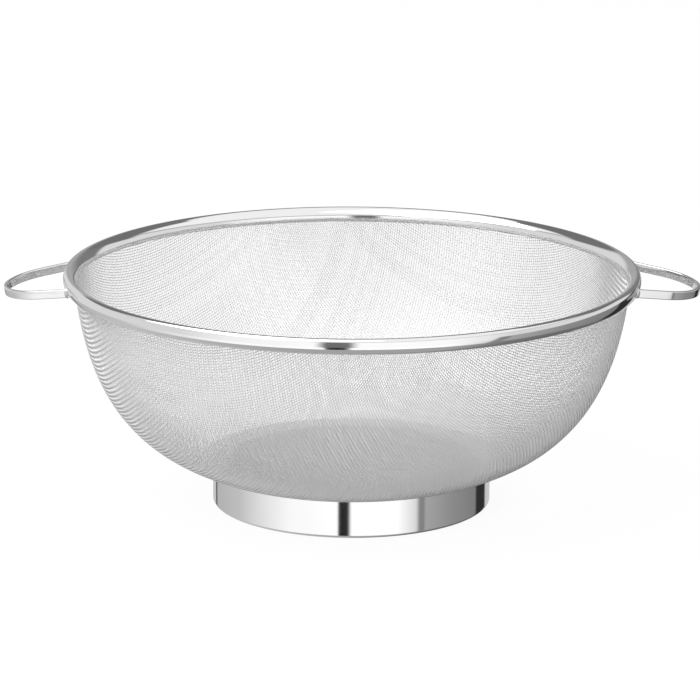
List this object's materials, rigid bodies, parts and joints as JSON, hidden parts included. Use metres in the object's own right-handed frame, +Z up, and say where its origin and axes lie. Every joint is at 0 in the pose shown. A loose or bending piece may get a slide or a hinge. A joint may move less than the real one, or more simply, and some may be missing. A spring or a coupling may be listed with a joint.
{
  "type": "colander",
  "caption": "Free-standing fine-mesh colander: a pressed bowl of woven steel wire with a rolled rim, strip loop handles and a foot ring, for rinsing and draining food.",
  "frame": {"origin": "centre of the foot ring on the surface it stands on", "axes": "+X through the right handle, +Y to the back, +Z up"},
  "size_m": [0.314, 0.26, 0.1078],
  "materials": {
    "wire_cloth": "bright drawn wire, woven",
    "rim_steel": "mirror polished",
    "hoop_wire": "drawn wire",
    "foot_steel": "mirror polished",
    "handle_steel": "bright polished"
  },
  "bodies": {
    "root": {"mesh_bowl": "wire_cloth", "rim_band": "rim_steel", "rim_hoop": "hoop_wire", "foot_ring": "foot_steel", "left_handle": "handle_steel", "right_handle": "handle_steel"}
  },
  "joints": []
}
